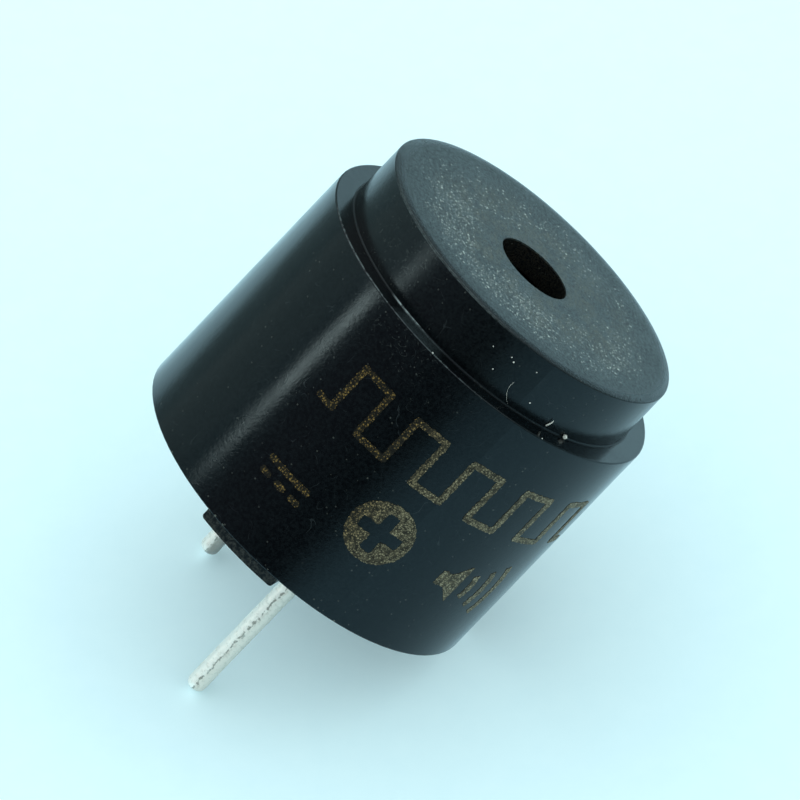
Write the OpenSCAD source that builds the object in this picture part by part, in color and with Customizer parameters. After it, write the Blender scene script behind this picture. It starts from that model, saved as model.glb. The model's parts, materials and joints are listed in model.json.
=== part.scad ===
// Magnetic buzzer, 16 mm class, internally driven, for soldering to a circuit board.
// The axis of the sound hole is +Z. The origin is the middle of the plane that the standoff
// ribs rest on, half way between the two leads. The positive lead is on +X.

/* [Case] */
// Outside diameter at the open bottom rim
body_d = 16.0; // [12.0:0.1:20.0]
// Overall height from the mounting plane to the top of the cap
total_h = 14.0; // [11.5:0.1:18.0]
// Width of the flat shoulder between the body and the cap
shoulder_w = 0.9; // [0.6:0.05:1.4]
// Height of the cap above the shoulder
cap_h = 2.5; // [1.8:0.1:3.5]
// Draft of the outside walls, so that the case leaves its mould
draft = 0.5; // [0:0.1:1]
// Wall thickness of the body
body_wall = 0.95; // [0.7:0.05:1.4]
// Wall thickness of the cap
cap_wall = 0.9; // [0.7:0.05:1.2]
// Thickness of the shoulder web
shoulder_t = 0.9; // [0.7:0.05:1.3]
// Thickness of the top
top_t = 1.0; // [0.7:0.05:1.4]
// Inward step of the bore that the support ring seats against
bore_step = 0.45; // [0.3:0.05:0.6]
// Diameter of the sound hole
sound_hole_d = 3.25; // [2.0:0.05:4.5]
// Rounding of the rim's outside edge
edge_r = 0.06; // [0.03:0.01:0.2]
// Rounding of the crisp outside edges of the shoulder and of the top
crisp_r = 0.06; // [0.03:0.01:0.12]
// Width of the ring in which the top falls off towards its edge
crown_w = 0.35; // [0.2:0.05:0.6]
// Slope that the top reaches at its edge, in degrees
crown_slope = 13; // [5:1:25]
// Fillet at the cap's foot
foot_r = 0.06; // [0.03:0.01:0.12]

/* [Standoff ribs] */
// Height of the ribs below the rim
standoff_h = 0.45; // [0.3:0.05:0.8]
// Number of ribs
standoff_count = 3; // [3:1:4]
// Direction of the first rib from the positive lead, in degrees
standoff_turn = -32; // [-40:1:-25]
// Length of one rib round the rim, in degrees
standoff_span = 28; // [15:1:40]
// Thickness of a rib from outside to inside
standoff_t = 0.7; // [0.4:0.05:0.75]
// How far a rib's face lies inside the rounding of the rim
standoff_inset = 0.08; // [0.01:0.01:0.2]
// Rounding of a rib's lower corners
standoff_corner = 0.13; // [0.05:0.01:0.2]

/* [Leads] */
// Distance between the two leads
lead_pitch = 7.6; // [6.3:0.1:9.2]
// Diameter of the tinned stretch
lead_d = 0.8; // [0.6:0.05:1.0]
// Thickness of the tin on the wire
tin_t = 0.03; // [0.01:0.01:0.05]
// Diameter of the collar that locks a lead in the resin
lead_collar_d = 1.2; // [1.1:0.05:1.4]
// Height of the collar with its flare
lead_collar_h = 0.6; // [0.55:0.05:0.8]
// Height of the flare below the collar
lead_flare_h = 0.2; // [0.1:0.05:0.3]
// Length of the positive lead below the mounting plane
positive_lead_len = 7.2; // [3:0.1:12]
// Length of the negative lead below the mounting plane
negative_lead_len = 5.5; // [3:0.1:12]
// Rounding of a lead's tip
lead_tip_r = 0.3; // [0.1:0.05:0.3]

/* [Bottom seal] */
// Depth of the resin's surface inside the rim
seal_recess = 0.3; // [0.2:0.05:0.6]
// Thickness of the resin below the board
seal_t = 1.6; // [1.5:0.05:2.5]
// Height that the resin creeps up the wall
seal_creep = 0.25; // [0.05:0.01:0.28]

/* [Circuit board] */
// Thickness of the board
board_t = 0.8; // [0.6:0.1:1.6]
// Gap between the case's bore and the board or the support ring
bore_clearance = 0.05; // [0.02:0.01:0.15]
// Gap round a wire in its hole
hole_clearance = 0.06; // [0.03:0.01:0.15]
// Height of the solder cones on the leads
solder_h = 0.7; // [0.4:0.05:1.0]
// Width of the solder past the lead's side
solder_w = 0.5; // [0.3:0.05:0.6]
// Gap between neighbouring parts on the board's underside
part_gap = 0.5; // [0.3:0.05:0.6]

/* [Magnet system] */
// Thickness of the yoke plate
yoke_t = 0.8; // [0.5:0.1:1.2]
// Height of the ring magnet
magnet_h = 2.6; // [1.8:0.1:3.5]
// Thickness of the ring magnet from outside to inside
magnet_w = 1.6; // [1.0:0.1:2.0]
// Diameter of the core
core_d = 2.5; // [1.5:0.1:3.0]
// Height of the core above the yoke plate
core_h = 3.0; // [2.8:0.1:4.5]
// Diameter of the riveted tail of the core
core_tail_d = 1.9; // [1.0:0.1:2.4]
// Distance between the winding and the ring magnet
coil_gap = 0.5; // [0.4:0.05:0.8]
// How far the winding stays below the magnet's top
coil_drop = 0.2; // [0.1:0.05:0.4]
// Diameter of the winding's wire
wire_d = 0.14; // [0.08:0.01:0.2]
// Distance between the winding's ends where they cross the board
wire_pitch = 0.8; // [0.7:0.05:1.0]

/* [Diaphragm] */
// Thickness of the diaphragm
diaphragm_t = 0.08; // [0.05:0.01:0.15]
// Air gap between the core and the diaphragm
air_gap = 0.4; // [0.25:0.05:0.6]
// Diameter of the weight
weight_d = 4.2; // [3.0:0.1:5.5]
// Thickness of the weight
weight_t = 0.45; // [0.3:0.05:0.8]
// Wall of the support ring round the magnet
ring_wall = 1.3; // [1.1:0.05:1.6]
// How far the support ring reaches in over the magnet
ring_ledge = 0.5; // [0.3:0.05:0.8]
// Width of the ledge that the diaphragm rests on
seat_w = 0.7; // [0.4:0.05:0.8]
// Height of the ring's lip round the diaphragm
lip_h = 0.6; // [0.3:0.05:0.8]
// Gap between the diaphragm and the lip
diaphragm_clearance = 0.1; // [0.05:0.01:0.2]

/* [Hidden] */
$fn = 96;

// Allowance that makes a cut run past the face it cuts
over = 1;

// Heights, from the mounting plane up
rim_z = standoff_h;
shoulder_z = total_h - cap_h;
seal_z = rim_z + seal_recess;
board_z = seal_z + seal_t;
yoke_z = board_z + board_t;
magnet_z = yoke_z + yoke_t;
magnet_top = magnet_z + magnet_h;
core_top = magnet_z + core_h;
diaphragm_z = core_top + air_gap;
ring_top = diaphragm_z + lip_h;
coil_top = magnet_top - coil_drop;

// Radii of the case
rim_r = body_d / 2;
shoulder_r = rim_r - (shoulder_z - rim_z) * tan(draft);
cap_r = shoulder_r - shoulder_w;
cap_top_r = cap_r - cap_h * tan(draft);
bore_r = rim_r - body_wall;
step_r = bore_r - bore_step;
chamber_r = cap_r - cap_wall;

// Radii of what the case holds, from the bore inwards
ring_r = bore_r - bore_clearance;
lip_r = ring_r - bore_step;
seat_r = lip_r - seat_w;
ring_bore_r = ring_r - ring_wall;
magnet_r = ring_bore_r - bore_clearance;
magnet_bore_r = magnet_r - magnet_w;
coil_r = magnet_bore_r - coil_gap;
diaphragm_r = lip_r - diaphragm_clearance;

// Leads and wires
lead_r = lead_d / 2;
bare_r = lead_r - tin_t;
lead_x = lead_pitch / 2;
collar_r = lead_collar_d / 2;
collar_z = seal_z + lead_collar_h;
wire_r = wire_d / 2;
wire_hole_r = wire_r + hole_clearance;
wire_path_r = coil_r + coil_gap / 2;
wire_bend_r = wire_d;
wire_spread = asin(wire_pitch / wire_path_r);
wire_turns = [90 - wire_spread, 90, 90 + wire_spread];
solder_dot_r = 0.3;
solder_dot_h = 0.22;

// Waist of a solder cone, as shares of its width and height
cone_waist = [0.35, 0.5];
// Shoulder of a solder dot, as shares of its radius and height
dot_shoulder = [0.8, 0.65];
// Creep of the resin: how far it starts from the wall and where it turns up, as shares of its height
creep_run = 2;
creep_knee = [0.6, 0.25];

// Standard packages on the board's underside: the diode's length lies along its own Y
transistor_size = [2.9, 1.3, 0.95];
diode_size = [1.6, 2.7, 1.0];
leg_size = [0.4, 0.55, 0.14];
leg_x = 0.95;
resistor_size = [2.0, 1.25, 0.5];
resistor_end = 0.35;

// Their places, in a row from the wires' solder dots towards -Y
resistor_y = wire_path_r - solder_dot_r - part_gap - resistor_size[1] / 2;
diode_y = resistor_y - resistor_size[1] / 2 - part_gap - diode_size[0] / 2;
transistor_y = diode_y - diode_size[0] / 2 - part_gap - leg_size[1] - transistor_size[1] / 2;

// Points of an arc, from angle a to angle b, less the first few of them
function arc(c, r, a, b, n = 6, first = 0) = [
    for (i = [first:n]) let (t = a + (b - a) * i / n) c + r * [cos(t), sin(t)]
];

// Distance of a rounding's centre inside a drafted wall, at the height of the flat face it meets
function round_inset(e, side) = e * (1 + side * sin(draft)) / cos(draft);

// Points of an outside edge rounded by e, where a drafted wall meets a flat top at [r, z]
function round_top(r, z, e) = arc([r - round_inset(e, -1), z - e], e, draft, 90);

// Points of a rounding by e where a drafted wall meets a flat bottom
function round_bottom(r, z, e) = arc([r - round_inset(e, 1), z + e], e, -90, draft);

// Points of the top's outside edge: a rounding by e, which runs on without a corner into the
// shallow fall-off of a top that is flat at height z. The wall's line has the radius r there.
function round_crown(r, z, e) =
    let (
        crown_r = crown_w / sin(crown_slope),
        depth = e + (crown_r - e) * (1 - cos(crown_slope)),
        edge_c = [r + depth * tan(draft) - e / cos(draft), z - depth],
        crown_c = [edge_c[0] - (crown_r - e) * sin(crown_slope), z - crown_r]
    )
    concat(
        arc(edge_c, e, draft, 90 - crown_slope),
        arc(crown_c, crown_r, 90 - crown_slope, 90, 6, 1)
    );

// Outside of the case, as half a section
module case_outline() {
    polygon(concat(
        [[0, rim_z]],
        round_bottom(rim_r, rim_z, edge_r),
        round_top(shoulder_r, shoulder_z, crisp_r),
        arc([cap_r + foot_r, shoulder_z + foot_r], foot_r, 270, 180, 4),
        round_crown(cap_top_r, total_h, crisp_r),
        [[0, total_h]]
    ));
}

// Stepped bore of the case, as half a section
module case_bore() {
    polygon([
        [0, rim_z - over],
        [bore_r, rim_z - over],
        [bore_r, ring_top],
        [step_r, ring_top],
        [step_r, shoulder_z - shoulder_t],
        [chamber_r, shoulder_z - shoulder_t],
        [chamber_r, total_h - top_t],
        [0, total_h - top_t]
    ]);
}

// Face of one standoff rib seen from outside, with its lower corners rounded
module standoff_face(w, root) {
    c = standoff_corner;
    polygon(concat(
        [[w / 2, root]],
        arc([w / 2 - c, c], c, 0, -90, 4),
        arc([-w / 2 + c, c], c, -90, -180, 4),
        [[-w / 2, root]]
    ));
}

// One rib: the face carried inwards, trimmed to the curve of the rim
module standoff() {
    out_r = rim_r - edge_r - standoff_inset;
    in_r = out_r - standoff_t;
    root = rim_z + standoff_t / 2;
    w = 2 * out_r * sin(standoff_span / 2);
    intersection() {
        translate([out_r + over, 0, 0]) rotate([90, 0, -90])
            linear_extrude(height = standoff_t + 2 * over) standoff_face(w, root);
        difference() {
            cylinder(r = out_r, h = root);
            translate([0, 0, -over]) cylinder(r = in_r, h = root + 2 * over);
        }
    }
}

module case() {
    color([0.06, 0.065, 0.07]) union() {
        difference() {
            rotate_extrude() case_outline();
            rotate_extrude() case_bore();
            translate([0, 0, total_h - top_t - over]) cylinder(d = sound_hole_d, h = top_t + 2 * over);
        }
        for (i = [0:standoff_count - 1]) rotate(standoff_turn + i * 360 / standoff_count) standoff();
    }
}

// Places two copies, one on each lead
module at_leads() {
    for (x = [lead_x, -lead_x]) translate([x, 0, 0]) children();
}

// Places three copies, one on each wire of the winding
module at_wires() {
    for (t = wire_turns) rotate(t) translate([wire_path_r, 0, 0]) children();
}

// A lead of the given length below the mounting plane: tinned up to the resin, then a flared
// collar that locks it in the resin, then bare wire up into the board
module lead(len) {
    rotate_extrude() polygon(concat(
        [[0, board_z + board_t / 2], [0, -len]],
        arc([lead_r - lead_tip_r, -len + lead_tip_r], lead_tip_r, -90, 0),
        [
            [lead_r, seal_z],
            [collar_r, seal_z + lead_flare_h],
            [collar_r, collar_z],
            [bare_r, collar_z],
            [bare_r, board_z + board_t / 2]
        ]
    ));
}

module positive_lead() {
    color([0.78, 0.78, 0.76]) translate([lead_x, 0, 0]) lead(positive_lead_len);
}

module negative_lead() {
    color([0.78, 0.78, 0.76]) translate([-lead_x, 0, 0]) lead(negative_lead_len);
}

// Solder cone round a lead, on the board's underside
module solder_cone() {
    rotate_extrude() polygon([
        [bare_r, board_z],
        [bare_r + solder_w, board_z],
        [bare_r + solder_w * cone_waist[0], board_z - solder_h * cone_waist[1]],
        [bare_r, board_z - solder_h]
    ]);
}

module lead_solder() {
    color([0.7, 0.7, 0.7]) at_leads() solder_cone();
}

// Domed dot of solder over a wire's end, on the board's underside
module solder_dot() {
    rotate_extrude() polygon([
        [0, board_z],
        [solder_dot_r, board_z],
        [solder_dot_r * dot_shoulder[0], board_z - solder_dot_h * dot_shoulder[1]],
        [0, board_z - solder_dot_h]
    ]);
}

module wire_solder() {
    color([0.7, 0.7, 0.7]) at_wires() solder_dot();
}

// Moulded body of a part, held off the board by its legs
module smd_body(size) {
    translate([-size[0] / 2, -size[1] / 2, board_z - leg_size[2] - size[2]]) cube(size);
}

// A leg on the +Y side of a body: a foot on the board and a shank against the body's side
module smd_leg(size) {
    l = leg_size;
    shank_h = l[2] + size[2] / 2;
    union() {
        translate([-l[0] / 2, size[1] / 2, board_z - l[2]]) cube(l);
        translate([-l[0] / 2, size[1] / 2, board_z - shank_h]) cube([l[0], l[2], shank_h]);
    }
}

module transistor() {
    color([0.1, 0.1, 0.1]) translate([0, transistor_y, 0]) smd_body(transistor_size);
}

module transistor_legs() {
    color([0.7, 0.7, 0.7]) translate([0, transistor_y, 0]) {
        smd_leg(transistor_size);
        for (x = [leg_x, -leg_x]) translate([x, 0, 0]) rotate(180) smd_leg(transistor_size);
    }
}

module diode() {
    color([0.12, 0.12, 0.12]) translate([0, diode_y, 0]) rotate(90) smd_body(diode_size);
}

module diode_legs() {
    color([0.7, 0.7, 0.7]) for (turn = [90, 270]) {
        translate([0, diode_y, 0]) rotate(turn) smd_leg(diode_size);
    }
}

// A block of the resistor between two places along its length
module resistor_slice(x0, x1) {
    s = resistor_size;
    translate([x0, resistor_y - s[1] / 2, board_z - s[2]]) cube([x1 - x0, s[1], s[2]]);
}

module resistor() {
    half = resistor_size[0] / 2;
    color([0.15, 0.15, 0.16]) resistor_slice(-half + resistor_end, half - resistor_end);
}

module resistor_ends() {
    half = resistor_size[0] / 2;
    color([0.75, 0.75, 0.75]) {
        resistor_slice(-half, -half + resistor_end);
        resistor_slice(half - resistor_end, half);
    }
}

module circuit_board() {
    color([0.45, 0.38, 0.2]) difference() {
        translate([0, 0, board_z]) cylinder(r = ring_r, h = board_t);
        at_leads() translate([0, 0, board_z - over]) cylinder(r = bare_r, h = board_t / 2 + over);
        at_wires() translate([0, 0, board_z - over]) cylinder(r = wire_hole_r, h = board_t + 2 * over);
    }
}

// Half a section of the resin: a flat surface that creeps up the wall
module seal_outline() {
    polygon([
        [0, seal_z],
        [bore_r - creep_run * seal_creep, seal_z],
        [bore_r - creep_knee[0] * seal_creep, seal_z - creep_knee[1] * seal_creep],
        [bore_r, seal_z - seal_creep],
        [bore_r, board_z],
        [0, board_z]
    ]);
}

module seal() {
    color([0.05, 0.05, 0.055]) difference() {
        rotate_extrude() seal_outline();
        positive_lead();
        negative_lead();
        at_leads() solder_cone();
        at_wires() solder_dot();
        transistor();
        transistor_legs();
        resistor();
        resistor_ends();
        diode();
        diode_legs();
    }
}

module yoke_plate() {
    color([0.6, 0.6, 0.62]) difference() {
        translate([0, 0, yoke_z]) cylinder(r = magnet_r, h = yoke_t);
        translate([0, 0, yoke_z - over]) cylinder(d = core_tail_d, h = yoke_t + 2 * over);
        at_wires() translate([0, 0, yoke_z - over]) cylinder(r = wire_hole_r, h = yoke_t + 2 * over);
    }
}

module core() {
    color([0.62, 0.62, 0.64]) union() {
        translate([0, 0, yoke_z]) cylinder(d = core_tail_d, h = yoke_t + over);
        translate([0, 0, magnet_z]) cylinder(d = core_d, h = core_h);
    }
}

module coil() {
    color([0.72, 0.35, 0.15]) difference() {
        translate([0, 0, magnet_z]) cylinder(r = coil_r, h = coil_top - magnet_z);
        translate([0, 0, magnet_z - over]) cylinder(d = core_d, h = magnet_h + 2 * over);
    }
}

// One end of the winding: out of the coil's side, round a bend and down to the board's underside
module wire_end() {
    out_z = magnet_z + 2 * wire_bend_r;
    bend_x = wire_path_r - wire_bend_r;
    union() {
        translate([coil_r, 0, out_z]) rotate([0, 90, 0]) cylinder(r = wire_r, h = bend_x - coil_r);
        translate([bend_x, 0, out_z - wire_bend_r]) rotate([90, 0, 0])
            rotate_extrude(angle = 90) translate([wire_bend_r, 0]) circle(r = wire_r);
        translate([wire_path_r, 0, board_z]) cylinder(r = wire_r, h = out_z - wire_bend_r - board_z);
    }
}

module drive_wire() {
    color([0.75, 0.35, 0.15]) rotate(wire_turns[0]) wire_end();
}

module common_wire() {
    color([0.75, 0.35, 0.15]) rotate(wire_turns[1]) wire_end();
}

module feedback_wire() {
    color([0.75, 0.35, 0.15]) rotate(wire_turns[2]) wire_end();
}

module ring_magnet() {
    color([0.2, 0.2, 0.21]) difference() {
        translate([0, 0, magnet_z]) cylinder(r = magnet_r, h = magnet_h);
        translate([0, 0, magnet_z - over]) cylinder(r = magnet_bore_r, h = magnet_h + 2 * over);
    }
}

// Ring on the board that locates the yoke and the magnet and carries the diaphragm on a ledge
module support_ring() {
    color([0.85, 0.84, 0.8]) rotate_extrude() polygon([
        [ring_bore_r, yoke_z],
        [ring_r, yoke_z],
        [ring_r, ring_top],
        [lip_r, ring_top],
        [lip_r, diaphragm_z],
        [seat_r, diaphragm_z],
        [magnet_r - ring_ledge, magnet_top],
        [ring_bore_r, magnet_top]
    ]);
}

module diaphragm() {
    color([0.75, 0.75, 0.72]) translate([0, 0, diaphragm_z]) cylinder(r = diaphragm_r, h = diaphragm_t);
}

module weight() {
    color([0.35, 0.35, 0.37])
        translate([0, 0, diaphragm_z + diaphragm_t]) cylinder(d = weight_d, h = weight_t);
}

case();
seal();
circuit_board();
transistor();
transistor_legs();
resistor();
resistor_ends();
diode();
diode_legs();
positive_lead();
negative_lead();
lead_solder();
wire_solder();
yoke_plate();
core();
coil();
drive_wire();
common_wire();
feedback_wire();
ring_magnet();
support_ring();
diaphragm();
weight();
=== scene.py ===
"""Looks of a small magnetic buzzer: camera, stage, light, procedural materials, marks and dust.

Lengths are in millimetres where a name ends in _MM or a comment says so, and otherwise in metres. Angles are
written in degrees, and an angle "round the axis" turns about the sound hole's.
"""

import json
import math
import random

import bmesh
import bpy
from mathutils import Matrix, Vector, noise


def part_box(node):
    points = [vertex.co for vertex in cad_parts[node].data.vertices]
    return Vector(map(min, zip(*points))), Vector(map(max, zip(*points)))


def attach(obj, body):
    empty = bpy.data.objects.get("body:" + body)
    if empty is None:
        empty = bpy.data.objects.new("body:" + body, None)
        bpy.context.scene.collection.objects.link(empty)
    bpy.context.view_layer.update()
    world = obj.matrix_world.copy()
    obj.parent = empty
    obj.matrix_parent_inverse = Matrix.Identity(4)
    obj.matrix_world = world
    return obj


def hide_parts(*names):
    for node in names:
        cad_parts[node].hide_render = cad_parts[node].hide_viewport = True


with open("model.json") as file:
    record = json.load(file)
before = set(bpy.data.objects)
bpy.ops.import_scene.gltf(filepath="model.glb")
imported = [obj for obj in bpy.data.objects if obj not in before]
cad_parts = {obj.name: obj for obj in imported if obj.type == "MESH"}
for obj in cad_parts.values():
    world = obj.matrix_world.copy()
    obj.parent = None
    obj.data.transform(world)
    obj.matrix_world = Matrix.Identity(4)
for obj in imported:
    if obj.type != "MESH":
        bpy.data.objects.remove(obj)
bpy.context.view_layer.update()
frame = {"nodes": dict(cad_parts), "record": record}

MM = 0.001
NODES = frame["nodes"]
MOUNTS = {mount["name"]: mount for mount in frame["record"]["mounts"]}

# The case's outer radius and its height come from the frame. The steps between them are those of the part's
# source, rounded: the rim above the ribs' feet, the shoulder, and the cap at its foot and at its top.
CASE_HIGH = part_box("case")[1]
BODY_R_MM = CASE_HIGH.x / MM
TOP_Z_MM = CASE_HIGH.z / MM
RIM_Z_MM = 0.45
SHOULDER_Z_MM = 11.5
SHOULDER_R_MM = 7.9
CAP_R_MM = 7.0
CAP_TOP_R_MM = 6.98
DRAFT_SLOPE = math.tan(math.radians(0.5))
HOLE_R_MM = MOUNTS["sound_port"]["dims"]["r_mm"]


def side_r(z_mm):
    """The case's radius at a height in millimetres: body and cap narrow upwards by the mould's draft."""
    if z_mm > SHOULDER_Z_MM:
        return CAP_TOP_R_MM + (TOP_Z_MM - z_mm) * DRAFT_SLOPE
    return BODY_R_MM - (z_mm - RIM_Z_MM) * DRAFT_SLOPE


def around(turn_deg, r_mm, z_mm):
    """A point in metres from its angle round the axis, its radius and its height."""
    turn = math.radians(turn_deg)
    return Vector((r_mm * math.cos(turn), r_mm * math.sin(turn), z_mm)) * MM


def sky_direction(azimuth, elevation):
    """A unit vector from its angle round the axis and its height above the buzzer's own level."""
    return around(azimuth, math.cos(math.radians(elevation)), math.sin(math.radians(elevation))) / MM


# ---------------------------------------------------------------- camera

VIEW_AZIMUTH = 63.68
VIEW_ELEVATION = 20.87
VIEW_ROLL = 43.8
VIEW_DISTANCE = 0.248
VIEW_LENS = 285.5
VIEW_AIM = Vector((-0.47, -0.03, 6.08)) * MM
VIEW_NEAR = 0.01
VIEW_FAR = 10


def add_camera():
    """The camera, which looks at the buzzer from the photographed side."""
    turn, rise, roll = (math.radians(a) for a in (VIEW_AZIMUTH, VIEW_ELEVATION, VIEW_ROLL))
    back = Vector((math.sin(turn) * math.cos(rise), -math.cos(turn) * math.cos(rise), math.sin(rise)))
    level = Vector((math.cos(turn), math.sin(turn), 0))
    right = level * math.cos(roll) + back.cross(level) * math.sin(roll)
    up = back.cross(right)
    data = bpy.data.cameras.new("camera")
    data.lens = VIEW_LENS
    data.clip_start = VIEW_NEAR
    data.clip_end = VIEW_FAR
    camera = bpy.data.objects.new("camera", data)
    camera.matrix_world = Matrix((right, up, back)).transposed().to_4x4()
    camera.location = VIEW_AIM + back * VIEW_DISTANCE
    bpy.context.scene.collection.objects.link(camera)
    bpy.context.scene.camera = camera


# ---------------------------------------------------------------- mesh helpers

# Points closer than this are one point.
WELD = 1e-8


def add_piece(name, mesh, material):
    """A mesh object that is part of the buzzer and rides with it."""
    mesh.validate()
    obj = bpy.data.objects.new(name, mesh)
    bpy.context.scene.collection.objects.link(obj)
    obj.data.materials.append(material)
    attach(obj, "root")
    return obj


def shade_smooth(mesh):
    """Shades a mesh without facets."""
    for face in mesh.polygons:
        face.use_smooth = True


def mesh_of(name, points, faces):
    """A smooth mesh with outward faces from points in metres."""
    mesh = bpy.data.meshes.new(name)
    mesh.from_pydata([tuple(p) for p in points], [], faces)
    work = bmesh.new()
    work.from_mesh(mesh)
    bmesh.ops.remove_doubles(work, verts=work.verts, dist=WELD)
    bmesh.ops.recalc_face_normals(work, faces=work.faces)
    work.to_mesh(mesh)
    work.free()
    shade_smooth(mesh)
    return mesh


# ---------------------------------------------------------------- node helpers

class Tree:
    """A node tree, with short calls for the nodes that this script uses again and again."""

    def __init__(self, owner):
        owner.use_nodes = True
        self.nodes = owner.node_tree.nodes
        self.links = owner.node_tree.links

    def put(self, value, socket):
        """Feeds an input with another node's output, with a colour or with a plain value."""
        if isinstance(value, bpy.types.NodeSocket):
            self.links.new(value, socket)
        elif socket.type == "RGBA":
            socket.default_value = (*value, 1)
        else:
            socket.default_value = value

    def node(self, kind, *values, **settings):
        """A node with its settings made and its first inputs fed in order."""
        node = self.nodes.new(kind)
        for name, setting in settings.items():
            setattr(node, name, setting)
        for value, socket in zip(values, node.inputs):
            self.put(value, socket)
        return node

    def feed(self, node, **values):
        """Feeds a node's inputs by their names, in which _ stands for a space."""
        for name, value in values.items():
            self.put(value, node.inputs[name.replace("_", " ")])
        return node

    def math(self, operation, *values):
        """One Math node."""
        return self.node("ShaderNodeMath", *values, operation=operation).outputs[0]

    def plus(self, a, b):
        """The sum of two numbers."""
        return self.math("ADD", a, b)

    def minus(self, a, b):
        """Number a less number b."""
        return self.math("SUBTRACT", a, b)

    def times(self, product, *others):
        """The product of two or more numbers."""
        for other in others:
            product = self.math("MULTIPLY", product, other)
        return product

    def most(self, largest, *others):
        """The largest of two or more numbers."""
        for other in others:
            largest = self.math("MAXIMUM", largest, other)
        return largest

    def dot(self, a, b):
        """How far two directions agree."""
        return self.node("ShaderNodeVectorMath", a, b, operation="DOT_PRODUCT").outputs["Value"]

    def ramp(self, value, low, high, to_low=0.0, to_high=1.0, smooth=True):
        """Value mapped from low..high to to_low..to_high, held at both ends."""
        inputs = (value, low, high, to_low, to_high)
        way = "SMOOTHSTEP" if smooth else "LINEAR"
        return self.node("ShaderNodeMapRange", *inputs, interpolation_type=way).outputs[0]

    def span(self, value, start, full, past, end):
        """1 from full to past, 0 before start and beyond end, and soft between them."""
        return self.times(self.ramp(value, start, full), self.ramp(value, end, past))

    def mix(self, share, a, b):
        """Colour a turned into colour b by share."""
        node = self.node("ShaderNodeMix", share, data_type="RGBA")
        self.put(a, node.inputs[6])
        self.put(b, node.inputs[7])
        return node.outputs[2]

    def blend(self, share, a, b):
        """Number a turned into number b by share."""
        node = self.node("ShaderNodeMix", share, data_type="FLOAT")
        self.put(a, node.inputs[2])
        self.put(b, node.inputs[3])
        return node.outputs[0]


class Finish(Tree):
    """A material: its place on the object in millimetres, and the grains and marks that materials share."""

    # The faintest fleck's strength beside the brightest one's.
    FAINTEST = 0.35
    # The full part of a hairline's width, how much finer its gaps are than its curves, and how soft they end.
    LINE_CORE = 0.3
    GAP_SCALE = 1.7
    GAP_SOFT = 0.03
    # How far the rounded normal still agrees with the true one where an edge starts and where it is full.
    EDGE_START = 0.99
    EDGE_FULL = 0.8

    def __init__(self, name, **sockets):
        self.material = bpy.data.materials.new(name)
        super().__init__(self.material)
        self.shader = self.feed(self.nodes["Principled BSDF"], **sockets)
        place = self.node("ShaderNodeTexCoord").outputs["Object"]
        scaled = self.node("ShaderNodeVectorMath", place, operation="SCALE")
        self.place = self.feed(scaled, Scale=1 / MM).outputs[0]
        self.x, self.y, self.z = self.node("ShaderNodeSeparateXYZ", self.place).outputs

    def from_axis(self):
        """The place's distance from the axis, in millimetres."""
        return self.math("SQRT", self.math("MULTIPLY_ADD", self.x, self.x, self.times(self.y, self.y)))

    def near_turn(self, turn_deg, wide_deg, full_deg, radius):
        """Places near an angle round the axis: none beyond wide_deg to either side, all within full_deg."""
        turn = math.radians(turn_deg)
        reach = self.math("MULTIPLY_ADD", self.x, math.cos(turn), self.times(self.y, math.sin(turn)))
        match = self.math("DIVIDE", reach, radius)
        return self.ramp(match, math.cos(math.radians(wide_deg)), math.cos(math.radians(full_deg)))

    def noise(self, per_mm, detail=2.0, rough=0.5, place=None):
        """Noise between 0 and 1 with about per_mm features to the millimetre."""
        node = self.node("ShaderNodeTexNoise", place or self.place)
        return self.feed(node, Scale=per_mm, Detail=detail, Roughness=rough).outputs[0]

    def stretched(self, scale):
        """The place scaled by a different number along each axis."""
        node = self.node("ShaderNodeMapping", self.place, vector_type="POINT")
        return self.feed(node, Scale=scale).outputs[0]

    def flecks(self, per_mm, size, share, core=0.6):
        """Scattered dots of uneven brightness: one in each of a share of the cells, size in cells."""
        cells = self.feed(self.node("ShaderNodeTexVoronoi", self.place), Scale=per_mm)
        chance = self.node("ShaderNodeSeparateColor", cells.outputs["Color"]).outputs
        kept = self.math("LESS_THAN", chance[0], share)
        dot = self.ramp(cells.outputs["Distance"], size, size * core)
        strength = self.ramp(chance[1], 0.0, 1.0, self.FAINTEST, 1.0, smooth=False)
        return self.times(kept, dot, strength)

    def hairlines(self, per_mm, width, shown):
        """Short curved lines: level lines of a soft noise, broken up by a second one."""
        level = self.math("ABSOLUTE", self.minus(self.noise(per_mm, 0), 0.5))
        line = self.ramp(level, width, width * self.LINE_CORE)
        gaps = self.ramp(self.noise(per_mm * self.GAP_SCALE, 0), shown, shown + self.GAP_SOFT)
        return self.times(line, gaps)

    def edges(self, width_mm):
        """Places within about width_mm of a sharp edge."""
        rounded = self.feed(self.node("ShaderNodeBevel"), Radius=width_mm * MM).outputs[0]
        normal = self.node("ShaderNodeNewGeometry").outputs["Normal"]
        return self.ramp(self.dot(rounded, normal), self.EDGE_START, self.EDGE_FULL)

    def rings(self, value, per_mm):
        """Even ripples along a value in millimetres, 0 to 1."""
        wave = self.math("SINE", self.times(value, 2 * math.pi * per_mm))
        return self.math("MULTIPLY_ADD", wave, 0.5, 0.5)

    def bump(self, height, depth_mm=1.0):
        """A normal from a height: one in millimetres, or one of 0 to 1 that stands for depth_mm."""
        node = self.node("ShaderNodeBump")
        return self.feed(node, Strength=1, Distance=depth_mm * MM, Height=height).outputs[0]

    def drive(self, **outputs):
        """Links outputs to the shader's inputs and returns the material."""
        self.feed(self.shader, **outputs)
        return self.material


# ---------------------------------------------------------------- the case's material

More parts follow.
